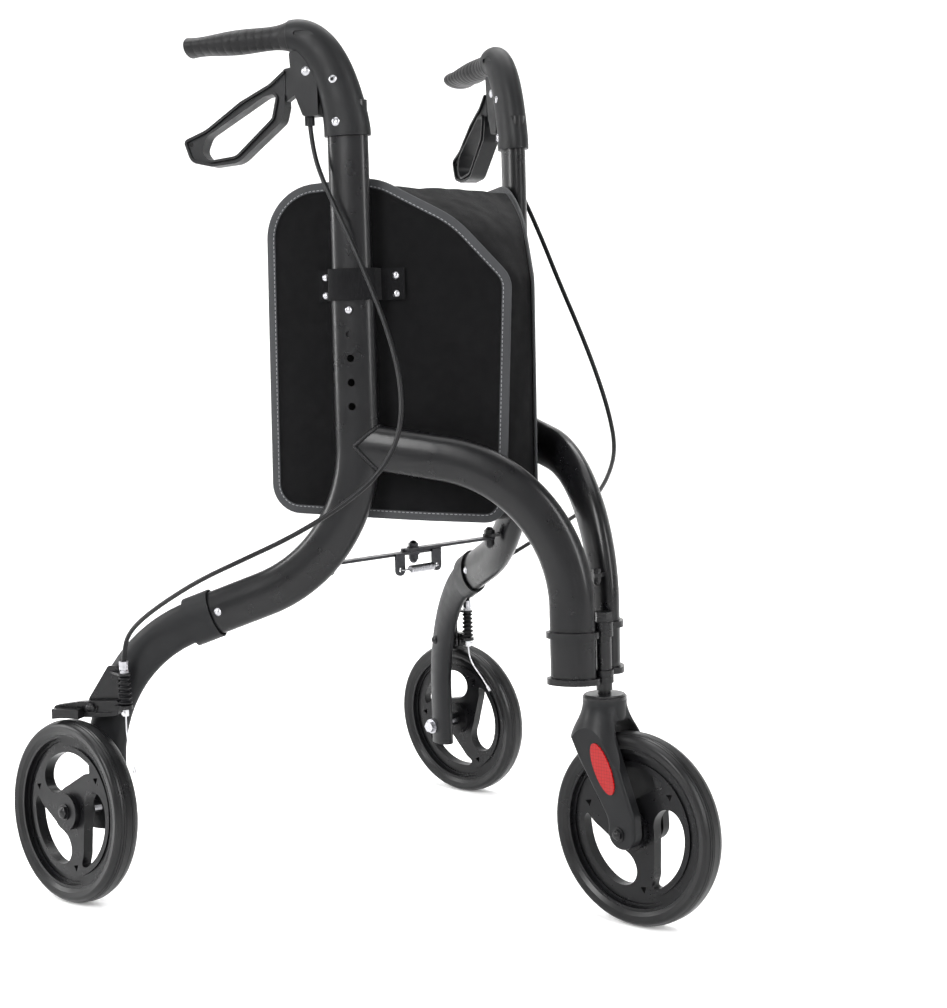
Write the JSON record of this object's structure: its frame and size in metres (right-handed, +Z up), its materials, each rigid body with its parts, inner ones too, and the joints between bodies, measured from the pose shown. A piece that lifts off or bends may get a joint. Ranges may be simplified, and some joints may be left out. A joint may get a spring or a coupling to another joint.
{
  "type": "rollator walker",
  "caption": "Folding rollator walking frame: two oval-tube sides hinged on a front post, caster wheel, cable-braked rear wheels, height-set handles and a hanging bag.",
  "frame": {"origin": "on the floor, at the centre of the footprint", "axes": "+Z up; -Y is the direction of travel; -X is the user's right-hand side"},
  "size_m": [0.6618, 0.738, 0.9388],
  "materials": {
    "frame_paint": "satin black powder coat",
    "arch_paint": "satin black powder coat",
    "leg_plastic": "matte charcoal, glass-filled",
    "housing_plastic": "matte charcoal",
    "fork_plastic": "satin charcoal",
    "rim_plastic": "satin black",
    "tyre": "smooth, fine lines",
    "grip_rubber": "soft touch, matte",
    "boot_rubber": "satin",
    "lever_plastic": "matte charcoal",
    "bag_fabric": "coated black weave",
    "strap_web": "woven band",
    "zinc": "zinc plated",
    "bolt_black": "black oxide",
    "plate_paint": "satin black powder coat",
    "stay_steel": "zinc plated",
    "cable_jacket": "satin black jacket",
    "wire_steel": "stranded steel",
    "lens_red": "red prismatic lens",
    "bearing_steel": "polished"
  },
  "bodies": {
    "right_frame": {"right_frame_tube": "frame_paint", "right_front_arch": "arch_paint", "right_hinge_plates": "plate_paint", "right_rear_leg": "leg_plastic", "right_rivets": "zinc", "right_bag_panel": "bag_fabric", "right_bag_strap": "strap_web", "right_brake_bracket": "bolt_black", "right_cable_adjuster": "zinc", "right_cable_boot": "boot_rubber", "right_brake_cable": "cable_jacket", "right_stay_bracket": "bolt_black", "right_axle": "zinc", "pivot_post": "zinc", "post_sleeve": "bolt_black", "bag_gusset": "bag_fabric"},
    "right_handle": {"right_handle_tube": "frame_paint", "right_handle_housing": "housing_plastic", "right_handle_bolts": "zinc", "right_grip": "grip_rubber"},
    "right_lever": {"right_brake_lever": "lever_plastic"},
    "right_button": {"right_snap_button": "zinc"},
    "right_brake": {"right_brake_arm": "bolt_black", "right_brake_wire": "wire_steel"},
    "right_wheel": {"right_tyre": "tyre", "right_rim": "rim_plastic"},
    "right_stay": {"right_stay_bar": "stay_steel", "stay_spring": "zinc"},
    "left_frame": {"left_frame_tube": "frame_paint", "left_front_arch": "arch_paint", "left_hinge_plates": "plate_paint", "left_rear_leg": "leg_plastic", "left_rivets": "zinc", "left_bag_panel": "bag_fabric", "left_bag_strap": "strap_web", "left_brake_bracket": "bolt_black", "left_cable_adjuster": "zinc", "left_cable_boot": "boot_rubber", "left_brake_cable": "cable_jacket", "left_stay_bracket": "bolt_black", "left_axle": "zinc", "fold_stop": "bolt_black"},
    "left_handle": {"left_handle_tube": "frame_paint", "left_handle_housing": "housing_plastic", "left_handle_bolts": "zinc", "left_grip": "grip_rubber"},
    "left_lever": {"left_brake_lever": "lever_plastic"},
    "left_button": {"left_snap_button": "zinc"},
    "left_brake": {"left_brake_arm": "bolt_black", "left_brake_wire": "wire_steel"},
    "left_wheel": {"left_tyre": "tyre", "left_rim": "rim_plastic"},
    "left_stay": {"left_stay_bar": "stay_steel"},
    "caster": {"fork": "fork_plastic", "fork_cap": "bolt_black", "swivel_bearings": "bearing_steel", "reflectors": "lens_red", "front_axle": "zinc"},
    "front_wheel": {"front_tyre": "tyre", "front_rim": "rim_plastic"}
  },
  "joints": [
    {"name": "fold", "type": "hinge", "parent": "right_frame", "child": "left_frame", "pos_m": [0, -0.23, 0.27], "axis": [0, 0, 1], "range_deg": [0, 44], "deforming": ["bag_gusset", "right_bag_panel", "left_bag_panel"]},
    {"name": "caster_swivel", "type": "hinge", "parent": "right_frame", "child": "caster", "pos_m": [0, -0.23, 0.22], "axis": [0, 0, 1], "continuous": true},
    {"name": "front_wheel_spin", "type": "hinge", "parent": "caster", "child": "front_wheel", "pos_m": [0, -0.269, 0.1], "axis": [1, 0, 0], "continuous": true},
    {"name": "right_wheel_spin", "type": "hinge", "parent": "right_frame", "child": "right_wheel", "pos_m": [-0.311, 0.269, 0.09987], "axis": [0.9984, 0, -0.0567], "continuous": true},
    {"name": "right_handle_height", "type": "slide", "parent": "right_frame", "child": "right_handle", "axis": [0, 0, 1], "range_m": [-0.1, 0], "deforming": ["right_brake_cable", "right_snap_button"]},
    {"name": "right_button_press", "type": "slide", "parent": "right_handle", "child": "right_button", "axis": [0.891, 0.454, 0], "range_m": [0, 0.004], "stiffness_N_per_m": 400, "springref_m": -0.003},
    {"name": "right_lever_squeeze", "type": "hinge", "parent": "right_handle", "child": "right_lever", "pos_m": [-0.1473, 0.02715, 0.884], "axis": [0.891, 0.454, 0], "range_deg": [0, 22], "stiffness_Nm_per_rad": 2, "springref_deg": -8.59},
    {"name": "right_brake_pivot", "type": "hinge", "parent": "right_frame", "child": "right_brake", "pos_m": [-0.28859, 0.25819, 0.213], "axis": [-0.891, -0.454, 0], "range_deg": [0, 2.6], "deforming": ["right_cable_boot"]},
    {"name": "right_stay_pivot", "type": "hinge", "parent": "right_frame", "child": "right_stay", "pos_m": [-0.12729, 0.04184, 0.368], "axis": [0, 0, 1], "range_deg": [-60.8, 0]},
    {"name": "left_wheel_spin", "type": "hinge", "parent": "left_frame", "child": "left_wheel", "pos_m": [0.311, 0.269, 0.09987], "axis": [0.9984, 0, 0.0567], "continuous": true},
    {"name": "left_handle_height", "type": "slide", "parent": "left_frame", "child": "left_handle", "axis": [0, 0, 1], "range_m": [-0.1, 0], "deforming": ["left_brake_cable", "left_snap_button"]},
    {"name": "left_button_press", "type": "slide", "parent": "left_handle", "child": "left_button", "axis": [-0.891, 0.454, 0], "range_m": [0, 0.004], "stiffness_N_per_m": 400, "springref_m": -0.003},
    {"name": "left_lever_squeeze", "type": "hinge", "parent": "left_handle", "child": "left_lever", "pos_m": [0.1473, 0.02715, 0.884], "axis": [0.891, -0.454, 0], "range_deg": [0, 22], "stiffness_Nm_per_rad": 2, "springref_deg": -8.59},
    {"name": "left_brake_pivot", "type": "hinge", "parent": "left_frame", "child": "left_brake", "pos_m": [0.28859, 0.25819, 0.213], "axis": [-0.891, 0.454, 0], "range_deg": [0, 2.6], "deforming": ["left_cable_boot"]},
    {"name": "left_stay_pivot", "type": "hinge", "parent": "left_frame", "child": "left_stay", "pos_m": [0.12729, 0.04184, 0.368], "axis": [0, 0, 1], "range_deg": [0, 60.8]}
  ],
  "couplings": [
    {"joint": "right_brake_pivot", "follows": "right_lever_squeeze", "ratio": 0.1136},
    {"joint": "right_stay_pivot", "follows": "fold", "ratio": -1.3796},
    {"joint": "left_brake_pivot", "follows": "left_lever_squeeze", "ratio": 0.1136},
    {"joint": "left_stay_pivot", "follows": "fold", "ratio": 1.3796}
  ]
}
